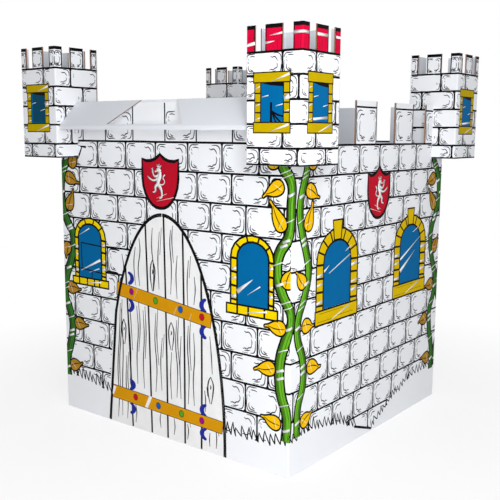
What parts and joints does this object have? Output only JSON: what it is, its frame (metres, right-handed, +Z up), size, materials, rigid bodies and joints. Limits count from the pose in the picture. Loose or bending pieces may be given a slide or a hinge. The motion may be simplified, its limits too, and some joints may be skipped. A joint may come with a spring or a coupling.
{
  "type": "cardboard castle",
  "caption": "Child-size play castle folded from printed corrugated board, with an arched door flap, battlements, a front hood and slotted corner turrets.",
  "frame": {"origin": "on the ground, under the middle of the castle's walls", "axes": "+Z up, -Y out through the door, +X to the right as seen from the front"},
  "size_m": [1.18, 1.152, 1.288],
  "materials": {
    "board": "white-faced corrugated board, matt"
  },
  "bodies": {
    "root": {"front_right_walls": "board", "back_left_walls": "board", "front_left_turret": "board", "front_right_turret": "board", "back_left_turret": "board", "back_right_turret": "board"}
  },
  "joints": []
}
